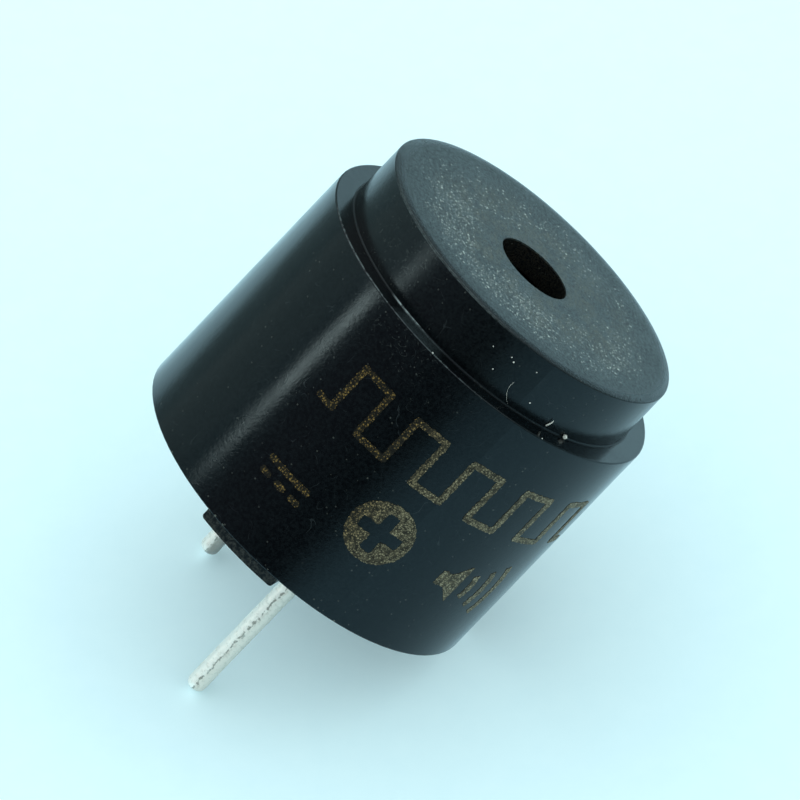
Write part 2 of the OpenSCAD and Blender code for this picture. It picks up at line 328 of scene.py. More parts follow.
class CaseZones:
    """Where the case's finish changes, each zone from 0 to 1, and the grains that its layers share."""

    def __init__(self, f):
        shoulder = SHOULDER_Z_MM
        self.radius = f.from_axis()
        self.top = f.ramp(f.z, TOP_Z_MM - 0.09, TOP_Z_MM - 0.05)
        self.polish_and_shade = f.times(self.top, f.ramp(self.radius, CAP_TOP_R_MM - 0.65, CAP_TOP_R_MM - 0.2))
        self.ledge = f.span(f.z, shoulder - 0.04, shoulder - 0.01, shoulder + 0.01, shoulder + 0.04)
        self.ribs = f.ramp(f.z, RIM_Z_MM - 0.02, RIM_Z_MM - 0.05)
        self.clouds = f.noise(0.5, 3)
        self.grain = f.noise(14, 2, 0.6)
        self.mottle = f.noise(7, 3, 0.7)


def side_colour(f, on):
    """The moulding's own black, with a paler grain on the cap's side."""
    colour = f.mix(f.ramp(on.mottle, 0.35, 0.68), (0.0013, 0.0018, 0.0024), (0.0036, 0.0048, 0.0056))
    cap = f.ramp(f.z, SHOULDER_Z_MM, SHOULDER_Z_MM + 0.4)
    pale = f.times(cap, f.ramp(f.noise(10, 2, 0.7), 0.42, 0.66))
    return f.mix(pale, colour, (0.0045, 0.0058, 0.0064))


def top_colour(f, on):
    """The matte top: a grey grain, olive grime and dark pits round the hole, and a smoother edge painted
    darker as painted shade where the top falls away.
    """
    colour = f.mix(f.ramp(f.noise(6.5, 4, 0.75), 0.36, 0.66), (0.002, 0.004, 0.005), (0.05, 0.067, 0.07))
    grime = f.times(f.ramp(on.radius, 5.8, 3.6), f.ramp(f.noise(1.4, 4, 0.7), 0.38, 0.62))
    colour = f.mix(f.times(grime, f.ramp(f.noise(8, 2, 0.6), 0.4, 0.6)), colour, (0.056, 0.056, 0.043))
    pits = f.flecks(5, 0.3, f.ramp(grime, 0.0, 1.0, 0.1, 0.5))
    colour = f.mix(pits, colour, (0.002, 0.0025, 0.0025))
    # Painted shade: the top's edge is painted darker where it falls away.
    return f.mix(on.polish_and_shade, colour, (0.006, 0.008, 0.009))


def bore_grime(f, on):
    """Layer: olive grime in the grain of the sound hole's wall."""
    wall = f.ramp(on.radius, HOLE_R_MM + 0.06, HOLE_R_MM + 0.02)
    height = f.ramp(f.z, SHOULDER_Z_MM, TOP_Z_MM - 1.5)
    return f.times(wall, height, f.ramp(on.grain, 0.35, 0.65)), (0.012, 0.0105, 0.008)


def pale_specks(f, on):
    """Layer: single pale specks, more of them in some places than in others."""
    specks = f.flecks(3.4, 0.15, f.blend(f.ramp(on.clouds, 0.4, 0.6), 0.15, 0.5))
    return f.times(specks, 0.5), (0.08, 0.08, 0.07)


def side_scratches(f, on):
    """Layer: faint hairlines everywhere but on the top."""
    scratches = f.hairlines(1.3, 0.006, 0.6)
    return f.times(scratches, f.minus(1.0, on.top), 0.3), (0.035, 0.04, 0.042)


def scuffs(f, on):
    """Layer: scuffs from handling, on the cap's far left side and on the body's dark side under the ledge."""
    shoulder = SHOULDER_Z_MM
    cap = f.times(f.ramp(f.z, shoulder, shoulder + 0.3), f.near_turn(-68, 28, 10, on.radius))
    under = f.span(f.z, shoulder - 2.4, shoulder - 0.6, shoulder - 0.1, shoulder)
    under = f.times(under, f.near_turn(-42, 20, 8, on.radius))
    place = f.times(f.minus(f.most(cap, under), on.top), f.ramp(f.noise(1.1, 2), 0.35, 0.6))
    marks = f.most(f.hairlines(2.6, 0.011, 0.55), f.flecks(9, 0.42, 0.35, 0.2))
    return f.times(marks, f.most(place, 0.0)), (0.028, 0.03, 0.028)


def top_marks(f, on):
    """Layer: bright specks and short lines on the top, rubbed in patches between hole and edge."""
    ring = f.span(on.radius, 2.2, 3.4, 4.8, 6.2)
    patches = f.blend(f.ramp(f.noise(0.45, 2), 0.4, 0.6), 0.25, 1.0)
    towards = f.blend(f.near_turn(-28, 125, 70, on.radius), 0.35, 1.0)
    worn = f.times(ring, on.top, patches, towards)
    fine = f.flecks(12, 0.5, f.times(worn, 0.9), 0.3)
    small = f.flecks(8, 0.42, f.times(worn, 0.6), 0.5)
    large = f.flecks(4, 0.26, f.times(worn, 0.4))
    lines = f.times(f.hairlines(1.2, 0.005, 0.6), f.ramp(worn, 0.3, 0.6, 0.0, 0.6))
    return f.most(f.times(fine, 0.33), f.times(small, 0.85), large, lines), (0.45, 0.47, 0.42)


def painted_edge_highlights(f, on):
    """Layer: a painted highlight along the crisp edges of shoulder and top, on the dark side."""
    shoulder = f.times(on.ledge, f.ramp(on.radius, SHOULDER_R_MM - 0.1, SHOULDER_R_MM - 0.05))
    shoulder = f.times(shoulder, f.ramp(f.noise(3.5, 3, 0.7), 0.4, 0.6))
    top = f.ramp(f.z, TOP_Z_MM - 0.13, TOP_Z_MM - 0.11)
    top = f.times(top, f.ramp(on.radius, CAP_TOP_R_MM - 0.05, CAP_TOP_R_MM - 0.03))
    top = f.times(top, f.ramp(f.noise(8, 3, 0.7), 0.4, 0.6, 0.2, 0.7))
    return f.times(f.most(shoulder, top), f.near_turn(-54, 44, 14, on.radius)), (0.08, 0.095, 0.095)


def painted_foot_highlight(f, on):
    """Layer: a painted highlight on one stretch of the cap's foot."""
    shoulder = SHOULDER_Z_MM
    foot = f.ramp(on.radius, CAP_R_MM + 0.07, CAP_R_MM + 0.04)
    foot = f.times(foot, f.span(f.z, shoulder - 0.04, shoulder - 0.01, shoulder + 0.03, shoulder + 0.06))
    foot = f.times(foot, f.ramp(f.noise(4, 3, 0.7), 0.35, 0.6))
    return f.times(foot, f.near_turn(-45, 9, 3, on.radius)), (0.3, 0.34, 0.34)


def painted_ledge_sheen(f, on):
    """Layer: a painted sheen on a stretch of the ledge in front of that highlight."""
    sheen_share = f.times(on.ledge, f.near_turn(-38, 11, 3, on.radius))
    return f.times(sheen_share, f.ramp(on.mottle, 0.3, 0.6, 0.5, 1.0)), (0.024, 0.03, 0.032)


def rib_dirt(f, on):
    """Layer: brown-grey dirt in the grain of the standoff ribs."""
    return f.times(on.ribs, f.ramp(f.noise(7, 3, 0.8), 0.42, 0.62)), (0.026, 0.024, 0.02)


def rim_chips(f, on):
    """Layer: small pale chips along the bottom rim."""
    rim = f.span(f.z, RIM_Z_MM - 0.04, RIM_Z_MM, RIM_Z_MM + 0.05, RIM_Z_MM + 0.12)
    rim = f.times(rim, f.ramp(on.radius, BODY_R_MM - 0.2, BODY_R_MM - 0.1))
    chips = f.flecks(7, 0.4, f.times(rim, 0.4))
    return f.times(chips, 0.7), (0.12, 0.12, 0.1)


# What lies on the plastic, from the lowest layer up, with the painted highlights and painted sheen among the
# layers. Each layer gives its share and its colour.
CASE_LAYERS = (
    bore_grime,
    pale_specks,
    side_scratches,
    scuffs,
    top_marks,
    painted_edge_highlights,
    painted_foot_highlight,
    painted_ledge_sheen,
    rib_dirt,
    rim_chips,
)


def case_roughness(f, on):
    """Satin sides, a smoother ledge, a matte top whose edge has a smoother polish, and dull ribs and corner.
    """
    side = f.ramp(f.z, SHOULDER_Z_MM - 0.9, SHOULDER_Z_MM + 0.4, 0.112, 0.19)
    rough = f.blend(on.top, f.blend(on.ledge, side, 0.17), f.blend(on.polish_and_shade, 0.42, 0.2))
    corner = f.span(f.z, RIM_Z_MM + 1, RIM_Z_MM + 2, SHOULDER_Z_MM + 0.05, SHOULDER_Z_MM + 0.08)
    corner = f.times(corner, f.ramp(on.radius, CAP_TOP_R_MM + 0.12, CAP_TOP_R_MM + 0.09))
    rough = f.blend(f.most(on.ribs, f.times(corner, 0.8)), rough, 0.5)
    rough = f.plus(rough, f.ramp(on.clouds, 0.3, 0.7, -0.03, 0.04))
    return f.plus(rough, f.ramp(on.mottle, 0.35, 0.65, -0.02, 0.02))


def case_height(f, on):
    """The moulding's grain in millimetres, coarser on the top, which falls away softly at its edge."""
    weave = f.math("MULTIPLY_ADD", f.noise(6.5, 3, 0.7), 0.0028, f.times(f.noise(10, 3, 0.8), 0.0035))
    height = f.math("MULTIPLY_ADD", on.grain, f.blend(on.top, 0.0015, 0.03), weave)
    height = f.times(height, f.blend(on.ledge, 1.0, 0.25))
    outward = f.ramp(on.radius, CAP_TOP_R_MM - 1.1, CAP_TOP_R_MM, smooth=False)
    return f.minus(height, f.times(outward, outward, on.top, 0.08))


def case_plastic():
    """Black moulding: satin sides, a smoother ledge and a matte, scuffed top."""
    f = Finish("case_plastic", IOR=1.5, Specular_IOR_Level=0.275, Specular_Tint=(0.72, 0.91, 1.0))
    on = CaseZones(f)
    colour = f.mix(on.top, side_colour(f, on), top_colour(f, on))
    for layer in CASE_LAYERS:
        share, tint = layer(f, on)
        colour = f.mix(share, colour, tint)
    return f.drive(Base_Color=colour, Roughness=case_roughness(f, on), Normal=f.bump(case_height(f, on)))


# ---------------------------------------------------------------- the other materials

def laser_mark():
    """Plastic that a laser has foamed up to a grainy tan, with painted shade on the body's dark side and a
    painted sheen on its light side.
    """
    f = Finish("laser_mark", Specular_IOR_Level=0.12)
    grain = f.noise(13, 1, 0.5)
    deep = f.ramp(f.noise(4, 3, 0.7), 0.38, 0.62)
    # Painted shade: round the body's dark side the mark is painted darker and browner, with fewer bright
    # grains.
    faint = f.ramp(f.y, -0.4, -3.4)
    deep_colour = f.mix(faint, (0.05, 0.041, 0.024), (0.008, 0.006, 0.003))
    colour = f.mix(deep, f.mix(faint, (0.016, 0.014, 0.009), (0.003, 0.0025, 0.002)), deep_colour)
    share = f.times(f.ramp(deep, 0.0, 1.0, 0.45, 0.8), f.ramp(faint, 0.0, 1.0, 1.0, 0.6))
    glints = f.most(f.flecks(11, 0.55, share, 0.2), f.times(f.flecks(16, 0.6, share, 0.2), 0.75))
    colour = f.mix(glints, colour, f.mix(faint, (0.27, 0.225, 0.135), (0.26, 0.145, 0.028)))
    # Painted sheen: where the body turns away on the light side, the grain is painted lighter.
    painted_sheen = f.ramp(f.y, 0.0, 6.8, 0.05, 1.0, smooth=False)
    painted_sheen = f.times(painted_sheen, f.math("MULTIPLY_ADD", glints, 0.7, 0.12))
    colour = f.mix(painted_sheen, colour, (0.34, 0.31, 0.22))
    rough = f.ramp(grain, 0.3, 0.7, 0.7, 0.5)
    return f.drive(Base_Color=colour, Roughness=rough, Normal=f.bump(grain, 0.03))


def lint():
    """Pale dust and fibres."""
    f = Finish("lint", Roughness=0.8)
    grain = f.noise(12, 2, 0.6)
    colour = f.mix(grain, (0.4, 0.38, 0.34), (0.75, 0.72, 0.66))
    return f.drive(Base_Color=colour, Normal=f.bump(grain, 0.01))


# A plain coat: how close its grain and its clouds lie, how far its roughness wanders, how wide its rubbed
# edges are, and by how much they are lighter than the rest.
COAT_PER_MM = 8
COAT_CLOUDS_PER_MM = COAT_PER_MM / 12
COAT_WANDER = 0.12
COAT_EDGE_MM = 0.08
COAT_EDGE_GAIN = 1.6
COAT_EDGE_LIFT = 0.02


def plain_coat(name, low, high, rough, depth_mm, **sockets):
    """A material whose colour, roughness and bump come from one grain, rubbed lighter along its edges."""
    f = Finish(name, **sockets)
    grain = f.noise(COAT_PER_MM, 3, 0.6)
    clouds = f.noise(COAT_CLOUDS_PER_MM, 2)
    colour = f.mix(f.ramp(f.blend(0.4, grain, clouds), 0.35, 0.65), low, high)
    rubbed = f.times(f.edges(COAT_EDGE_MM), f.ramp(grain, 0.35, 0.55))
    colour = f.mix(rubbed, colour, [min(1, COAT_EDGE_GAIN * c + COAT_EDGE_LIFT) for c in high])
    uneven = f.plus(f.times(clouds, COAT_WANDER), rough - COAT_WANDER / 2)
    return f.drive(Base_Color=colour, Roughness=uneven, Normal=f.bump(grain, depth_mm))


GROOVES_PER_MM = 12
# How much of a place's height counts beside its distance from the axis, so that side faces have grooves too.
GROOVE_CLIMB = 0.7
TURNS_PER_MM = 12
THREADS_PER_MM = 2.2


def turned_steel():
    """Plated steel with the faint rings that turning leaves, and dull plating stains."""
    f = Finish("steel", Metallic=1.0)
    grooves = f.rings(f.plus(f.from_axis(), f.times(f.z, GROOVE_CLIMB)), GROOVES_PER_MM)
    stains = f.ramp(f.noise(1.3, 4, 0.65), 0.4, 0.65)
    colour = f.mix(stains, (0.6, 0.6, 0.58), (0.44, 0.42, 0.37))
    colour = f.mix(f.times(f.edges(0.06), 0.6), colour, (0.82, 0.82, 0.8))
    rough = f.plus(f.ramp(stains, 0.0, 1.0, 0.24, 0.4), f.times(f.noise(9), 0.08))
    return f.drive(Base_Color=colour, Roughness=rough, Normal=f.bump(grooves, 0.002))


def wound_copper():
    """Enamelled copper: one ripple for each turn of the wire, with painted shade between the turns."""
    f = Finish("copper_wire", Metallic=0.9, Coat_Weight=0.6, Coat_Roughness=0.15)
    turns = f.rings(f.z, TURNS_PER_MM)
    bands = f.noise(1.0, 3, 0.6, place=f.stretched((0.2, 0.2, 9.0)))
    colour = f.mix(f.ramp(bands, 0.35, 0.65), (0.5, 0.15, 0.045), (0.8, 0.34, 0.14))
    # Painted shade: darker in the grooves between the turns.
    colour = f.mix(f.ramp(turns, 0.35, 0.0), colour, (0.14, 0.04, 0.015))
    rough = f.plus(f.times(f.noise(6), 0.2), 0.15)
    return f.drive(Base_Color=colour, Roughness=rough, Normal=f.bump(turns, 0.02))


def laminate():
    """Glass-cloth board: crossed threads under a brownish resin, paler where it was cut."""
    f = Finish("board_laminate", Specular_IOR_Level=0.5)
    cloth = f.times(f.rings(f.x, THREADS_PER_MM), f.rings(f.y, THREADS_PER_MM))
    clouds = f.noise(0.8, 3)
    colour = f.mix(f.ramp(clouds, 0.35, 0.65), (0.2, 0.14, 0.045), (0.3, 0.23, 0.09))
    colour = f.mix(f.times(cloth, 0.35), colour, (0.42, 0.36, 0.18))
    cut = f.times(f.edges(0.12), f.ramp(f.noise(5), 0.35, 0.6))
    colour = f.mix(cut, colour, (0.55, 0.5, 0.33))
    rough = f.ramp(clouds, 0.3, 0.7, 0.45, 0.65)
    return f.drive(Base_Color=colour, Roughness=rough, Normal=f.bump(cloth, 0.012))


def sintered_ferrite():
    """Dark sintered magnet: grainy, with pores painted dark as painted shade, and pale chipped edges."""
    f = Finish("ferrite", Specular_IOR_Level=0.5)
    grain = f.noise(10, 4, 0.7)
    pores = f.flecks(3, 0.2, 0.3)
    colour = f.mix(f.ramp(grain, 0.35, 0.65), (0.014, 0.014, 0.016), (0.045, 0.045, 0.048))
    # Painted shade: the pores are painted nearly black.
    colour = f.mix(pores, colour, (0.004, 0.004, 0.004))
    chips = f.times(f.edges(0.15), f.ramp(f.noise(3.5, 3, 0.7), 0.45, 0.6))
    colour = f.mix(chips, colour, (0.13, 0.13, 0.14))
    rough = f.ramp(grain, 0.3, 0.7, 0.6, 0.85)
    height = f.minus(f.times(grain, 0.012), f.times(pores, 0.03))
    return f.drive(Base_Color=colour, Roughness=rough, Normal=f.bump(height))


# The resin's radius as in the part's source, and how wide its dull edge is.
SEAL_R_MM = 7.05
SEAL_EDGE_MM = 0.6


def potting_resin():
    """Black cured resin: glossy where it is level, with slow waves, pinholes and a dull, creeping edge."""
    f = Finish("resin", Specular_IOR_Level=0.4)
    waves = f.noise(0.45, 3, 0.5)
    grain = f.noise(9, 3, 0.6)
    holes = f.flecks(1.6, 0.12, 0.25)
    edge = f.ramp(f.from_axis(), SEAL_R_MM - SEAL_EDGE_MM, SEAL_R_MM)
    colour = f.mix(f.ramp(waves, 0.35, 0.65), (0.004, 0.004, 0.005), (0.012, 0.012, 0.013))
    colour = f.mix(f.times(edge, f.ramp(grain, 0.35, 0.6)), colour, (0.035, 0.034, 0.032))
    rough = f.plus(f.ramp(waves, 0.3, 0.7, 0.16, 0.3), f.times(edge, 0.25))
    height = f.plus(f.times(waves, 0.12), f.times(grain, 0.003))
    height = f.minus(height, f.times(holes, 0.06))
    return f.drive(Base_Color=colour, Roughness=rough, Normal=f.bump(height))


LEAD_X_MM = MOUNTS["positive_pin"]["pos_m"][0] / MM
# The direction round a lead in which the painted dark reflection down its front lies.
DARK_REFLECTION_TURN = math.radians(-26)


def tinned():
    """Solder-dipped wire: pale satin metal with pits, painted light and shade across its flanks, and a broken
    painted dark reflection down its front.
    """
    f = Finish("tin", Metallic=0.4)
    grain = f.noise(11, 2, 0.6)
    pits = f.ramp(f.noise(6, 3, 0.7), 0.52, 0.62)
    # Across the lead and towards its front, from its own middle.
    off = f.minus(f.x, f.times(f.math("SIGN", f.x), LEAD_X_MM))
    across = f.math("MULTIPLY_ADD", f.y, math.cos(DARK_REFLECTION_TURN), f.times(off, -math.sin(DARK_REFLECTION_TURN)))
    front = f.math("MULTIPLY_ADD", off, math.cos(DARK_REFLECTION_TURN), f.times(f.y, math.sin(DARK_REFLECTION_TURN)))
    # Painted reflection: a broken dark line down the lead's front, where it mirrors the room's dark side.
    wander = f.ramp(f.noise(2.2, 3, 0.7), 0.25, 0.75, -0.1, 0.1, smooth=False)
    painted_reflection = f.ramp(f.math("ABSOLUTE", f.plus(across, wander)), 0.06, 0.02)
    painted_reflection = f.times(painted_reflection, f.times(f.ramp(front, 0.1, 0.2), f.ramp(f.noise(5, 2, 0.6), 0.42, 0.56)))
    # Painted light and shade: the lead is painted darker at its left edge and brightest on its left face,
    # both flanks are painted darker than the ridge, and the short lead's right flank is painted darker still
    # all the way.
    short = f.ramp(f.x, 1.0, -1.0)
    dull = f.mix(short, (0.72, 0.66, 0.58), (0.34, 0.32, 0.29))
    colour = f.mix(f.ramp(across, -0.4, -0.14), (0.76, 0.74, 0.68), (0.97, 0.93, 0.86))
    colour = f.mix(f.ramp(across, -0.06, 0.1), colour, dull)
    colour = f.mix(f.times(pits, 0.35), colour, (0.45, 0.43, 0.37))
    colour = f.mix(painted_reflection, colour, (0.32, 0.31, 0.27))
    rough = f.plus(f.times(grain, 0.2), f.ramp(pits, 0.0, 1.0, 0.25, 0.4))
    return f.drive(Base_Color=colour, Roughness=rough, Normal=f.bump(f.times(grain, 0.008)))


def make_materials():
    """One material for each of the record's slots."""
    return {
        "case_plastic": case_plastic(),
        "resin": potting_resin(),
        "board_laminate": laminate(),
        "package_plastic": plain_coat("package_plastic", (0.01, 0.01, 0.01), (0.03, 0.03, 0.03), 0.6, 0.006),
        "chip_ceramic": plain_coat("chip_ceramic", (0.03, 0.03, 0.035), (0.07, 0.07, 0.075), 0.5, 0.004),
        "tin": tinned(),
        "steel": turned_steel(),
        "spring_metal": plain_coat(
            "spring_metal", (0.66, 0.65, 0.6), (0.74, 0.73, 0.7), 0.25, 0.002, Metallic=1.0
        ),
        "copper_wire": wound_copper(),
        "ferrite": sintered_ferrite(),
        "ring_plastic": plain_coat("ring_plastic", (0.6, 0.58, 0.52), (0.72, 0.7, 0.64), 0.45, 0.004),
    }


def dress(materials):
    """Gives each CAD node the material of its slot."""
    for node in NODES.values():
        for place in node.material_slots:
            place.material = materials[place.material.name.split(".")[0]]


# ---------------------------------------------------------------- the floor

# The buzzer lies on its rim and on the tips of its leads: this is the table's normal in its frame.
TABLE_NORMAL = Vector((0.166, -0.627, 0.762)).normalized()
RESTING = ("case", "positive_lead", "negative_lead")
# The floor that the camera sees runs far out; the one that lights the buzzer is a sheet of paper's size.
FLOOR_R = 1.3
FLOOR_SIDES = 64
FLOOR_GAP = 0.00002
SHEET_GAP = 0.0001
SHEET_AZIMUTH = -150
SHEET_ELEVATION = -21
SHEET_LEFT = 0.085
SHEET_RIGHT = -0.15
SHEET_FRONT = 0.1
SHEET_BACK = -0.25


def floor_material():
    """Pale paper-like table, clear to the camera from below so that it hides nothing."""
    f = Finish("floor", Roughness=0.9, Specular_IOR_Level=0.1)
    f.drive(Base_Color=f.mix(f.noise(0.8, 3, 0.6), (0.78, 0.93, 0.98), (0.82, 0.96, 1.0)))
    below = f.node("ShaderNodeNewGeometry").outputs["Backfacing"]
    seen = f.node("ShaderNodeLightPath").outputs["Is Camera Ray"]
    clear = f.node("ShaderNodeBsdfTransparent").outputs[0]
    pick = f.node("ShaderNodeMixShader", f.times(below, seen), f.shader.outputs[0], clear)
    f.feed(f.nodes["Material Output"], Surface=pick.outputs[0])
    return f.material


def sheet_material():
    """The paper that the buzzer mirrors, dimmer where it reaches far from the buzzer."""
    f = Finish("sheet", Roughness=0.9, Specular_IOR_Level=0.1)
    colour = f.mix(f.noise(0.8, 3, 0.6), (0.64, 0.85, 0.95), (0.68, 0.88, 0.98))
    lit = f.times(f.ramp(f.x, 15, 85, 1.0, 0.45), f.ramp(f.x, -50, -110, 1.0, 0.8))
    return f.drive(Base_Color=f.mix(lit, (0, 0, 0), colour))


def table_height():
    """How far along the table's normal the buzzer's lowest point lies."""
    return min(TABLE_NORMAL.dot(v.co) for name in RESTING for v in NODES[name].data.vertices)


def add_flat(name, corners, depth, material):
    """A flat part of the stage under the buzzer, from corners along the floor's two directions."""
    across = TABLE_NORMAL.cross(sky_direction(SHEET_AZIMUTH, SHEET_ELEVATION)).normalized()
    along = across.cross(TABLE_NORMAL)
    level = TABLE_NORMAL * (table_height() - depth)
    points = [level + along * a + across * b for a, b in corners]
    mesh = bpy.data.meshes.new(name)
    mesh.from_pydata(points, [], [tuple(range(len(points)))])
    mesh.materials.append(material)
    flat = bpy.data.objects.new(name, mesh)
    bpy.context.scene.collection.objects.link(flat)
    return flat


def add_floors():
    """The pale floor: seen far out, and mirrored in the buzzer only as far as a sheet of paper reaches."""
    turns = [2 * math.pi * k / FLOOR_SIDES for k in range(FLOOR_SIDES)]
    far = [(math.cos(turn) * FLOOR_R, math.sin(turn) * FLOOR_R) for turn in turns]
    floor = add_flat("floor", far, FLOOR_GAP, floor_material())
    floor.visible_glossy = False
    floor.visible_diffuse = False
    floor.visible_shadow = False
    left, right, front, back = SHEET_LEFT, SHEET_RIGHT, SHEET_FRONT, SHEET_BACK
    near = [(left, back), (left, front), (right, front), (right, back)]
    sheet = add_flat("sheet", near, SHEET_GAP, sheet_material())
    sheet.visible_camera = False


# ---------------------------------------------------------------- light

# What the camera sees behind the floor.
BACKDROP_COLOUR = (0.745, 1.1, 1.15)
# What the buzzer mirrors: a tent that brightens upwards, between these shares of straight up.
TENT_LOW = 0.25
TENT_HIGH = 0.8
TENT_LOW_COLOUR = (0.26, 0.41, 0.43)
TENT_HIGH_COLOUR = (1.5, 1.5, 1.5)
# The dark side of the room, which the buzzer's lower right flank mirrors. It lightens towards a window.
ROOM_AZIMUTH = -40
ROOM_ELEVATION = 3
ROOM_HALF_ANGLE = 43
ROOM_SOFT_ANGLE = 8
ROOM_COLOUR = (0.03, 0.022, 0.022)
WINDOW_AZIMUTH = -80
WINDOW_START = 0.45
WINDOW_COLOUR = (0.17, 0.15, 0.17)


def add_world():
    """Pale backdrop for the camera, and a light tent, open on the camera's side, for everything else."""
    world = bpy.data.worlds.new("studio")
    bpy.context.scene.world = world
    world.cycles_visibility.diffuse = False
    sky = Tree(world)
    way = sky.node("ShaderNodeTexCoord").outputs["Generated"]
    outer = math.cos(math.radians(ROOM_HALF_ANGLE + ROOM_SOFT_ANGLE))
    inner = math.cos(math.radians(ROOM_HALF_ANGLE - ROOM_SOFT_ANGLE))
    room = sky.ramp(sky.dot(way, sky_direction(ROOM_AZIMUTH, ROOM_ELEVATION)), outer, inner)
    rise = sky.ramp(sky.dot(way, TABLE_NORMAL), TENT_LOW, TENT_HIGH, smooth=False)
    window = sky.ramp(sky.dot(way, sky_direction(WINDOW_AZIMUTH, 0)), WINDOW_START, 1.0)
    tent = sky.mix(rise, TENT_LOW_COLOUR, TENT_HIGH_COLOUR)
    dark = sky.mix(window, ROOM_COLOUR, WINDOW_COLOUR)
    light = sky.node("ShaderNodeBackground", sky.mix(room, tent, dark), 1.0)
    backdrop = sky.feed(sky.nodes["Background"], Color=BACKDROP_COLOUR, Strength=1.0)
    seen = sky.node("ShaderNodeLightPath").outputs["Is Camera Ray"]
    pick = sky.node("ShaderNodeMixShader", seen, light.outputs[0], backdrop.outputs[0])
    sky.feed(sky.nodes["World Output"], Surface=pick.outputs[0])


# A dome over the table, which lights everything but isn't mirrored in the buzzer.
DOME_R = 2.0
DOME_FINENESS = 3
DOME_COLOUR = (0.83, 1.03, 1.05)
DOME_LOW_GLOW = 1.75
DOME_HIGH_GLOW = 0.6


def dome_material():
    """Light that is brightest along the table and dimmer overhead."""
    material = bpy.data.materials.new("dome")
    glow = Tree(material)
    above = glow.dot(glow.node("ShaderNodeTexCoord").outputs["Object"], TABLE_NORMAL / DOME_R)
    strength = glow.ramp(glow.math("POWER", above, 2), 0, 1, DOME_LOW_GLOW, DOME_HIGH_GLOW, smooth=False)
    shader = glow.nodes["Principled BSDF"]
    glow.feed(shader, Base_Color=(0, 0, 0), Emission_Color=DOME_COLOUR, Emission_Strength=strength)
    return material


def add_dome():
    """Half a sphere of soft light over the table."""
    work = bmesh.new()
    bmesh.ops.create_icosphere(work, subdivisions=DOME_FINENESS, radius=DOME_R)
    below = [v for v in work.verts if v.co.z < -MM]
    bmesh.ops.delete(work, geom=below, context="VERTS")
    work.transform(TABLE_NORMAL.to_track_quat("Z", "Y").to_matrix().to_4x4())
    mesh = bpy.data.meshes.new("dome")
    work.to_mesh(mesh)
    work.free()
    mesh.materials.append(dome_material())
    dome = bpy.data.objects.new("dome", mesh)
    bpy.context.scene.collection.objects.link(dome)
    dome.visible_camera = False
    dome.visible_glossy = False
    dome.visible_transmission = False
    dome.visible_shadow = False


# Two lamps that show only in the buzzer's gloss: a narrow one at the left, which draws the streak, and a
# wide dim one beside it, which lightens the plastic left of the streak. They stand close, so that their
# images fade out low on the body. Each has its name, its angle round the axis, its low and high end, its
# width, its power in watts and its colour.
LAMP_DISTANCE = 0.08
LAMPS = (
    ("strip", -81, -0.0245, -0.01, 0.0048, 0.0021, (0.97, 1.0, 0.92)),
    ("glow", -112, -0.034, -0.006, 0.05, 0.00078, (0.95, 1.0, 0.9)),
)


def add_lamp(name, azimuth, low, high, width, power, colour):
    """An upright area light that shines at the axis and isn't seen by the camera."""
    direction = sky_direction(azimuth, 0)
    data = bpy.data.lights.new(name, "AREA")
    data.shape = "RECTANGLE"
    data.size = width
    data.size_y = high - low
    data.energy = power
    data.color = colour
    lamp = bpy.data.objects.new(name, data)
    lamp.location = Vector((0, 0, (low + high) / 2)) + direction * LAMP_DISTANCE
    lamp.rotation_mode = "QUATERNION"
    lamp.rotation_quaternion = (-direction).to_track_quat("-Z", "Y")
    lamp.visible_camera = False
    lamp.visible_diffuse = False
    bpy.context.scene.collection.objects.link(lamp)


def add_lights():
    """The dome and the two lamps."""
    add_dome()
    for lamp in LAMPS:
        add_lamp(*lamp)


# ---------------------------------------------------------------- laser marks on the body

# A mark stands proud of the body by its lift and reaches into it by its root. It is cut from a square grid,
# whose outer points move onto the mark's edge and are then shaken a little. Its form is a function that gives
# the signed distance in millimetres from a place to that edge.
MARK_LIFT_MM = 0.012
MARK_ROOT_MM = 0.03
MARK_STEP_MM = 0.07
MARK_REACH_MM = MARK_STEP_MM * 0.7
MARK_RAGGED_MM = 0.015
MARK_PROBE_MM = 0.01
STROKE_MM = 0.28


def bar(x, y, half_x, half_y):
    """Signed distance to a bar centred on the origin."""
    dx, dy = abs(x) - half_x, abs(y) - half_y
    return math.hypot(max(dx, 0), max(dy, 0)) + min(max(dx, dy), 0)


def stroke(x, y, start, end):
    """Signed distance to a straight stroke with round ends."""
    along = (end[0] - start[0], end[1] - start[1])
    length = along[0] ** 2 + along[1] ** 2
    share = ((x - start[0]) * along[0] + (y - start[1]) * along[1]) / length
    share = min(max(share, 0), 1)
    return math.hypot(x - start[0] - along[0] * share, y - start[1] - along[1] * share) - STROKE_MM / 2


DISC_R_MM = 1.39
PLUS_ARM_MM = 0.88
PLUS_HALF_MM = 0.2
PLUS_ROUND_MM = 0.06


def polarity(x, y):
    """A disc with a plus cut out of it."""
    disc = math.hypot(x, y) - DISC_R_MM
    arms = min(bar(x, y, PLUS_ARM_MM, PLUS_HALF_MM), bar(x, y, PLUS_HALF_MM, PLUS_ARM_MM))
    return max(disc, PLUS_ROUND_MM - arms)


PULSES = 5
PULSE_PITCH_MM = 2.8
PULSE_HALF_MM = 1.05


def pulses(x, y):
    """A train of square pulses, drawn as one line."""
    half = PULSE_PITCH_MM / 4
    low, high = -PULSE_HALF_MM, PULSE_HALF_MM
    points = []
    for k in range(PULSES):
        middle = (k - (PULSES - 1) / 2) * PULSE_PITCH_MM
        points += [(middle - half, low), (middle - half, high), (middle + half, high), (middle + half, low)]
    points = [(points[0][0] - half, low), *points, (points[-1][0] + half, low)]
    return min(stroke(x, y, a, b) for a, b in zip(points, points[1:]))


LINE_HALF_MM = 0.95
LINE_RISE_MM = 0.3
DASH_HALF_MM = 0.14
DASH_PITCH_MM = 0.78


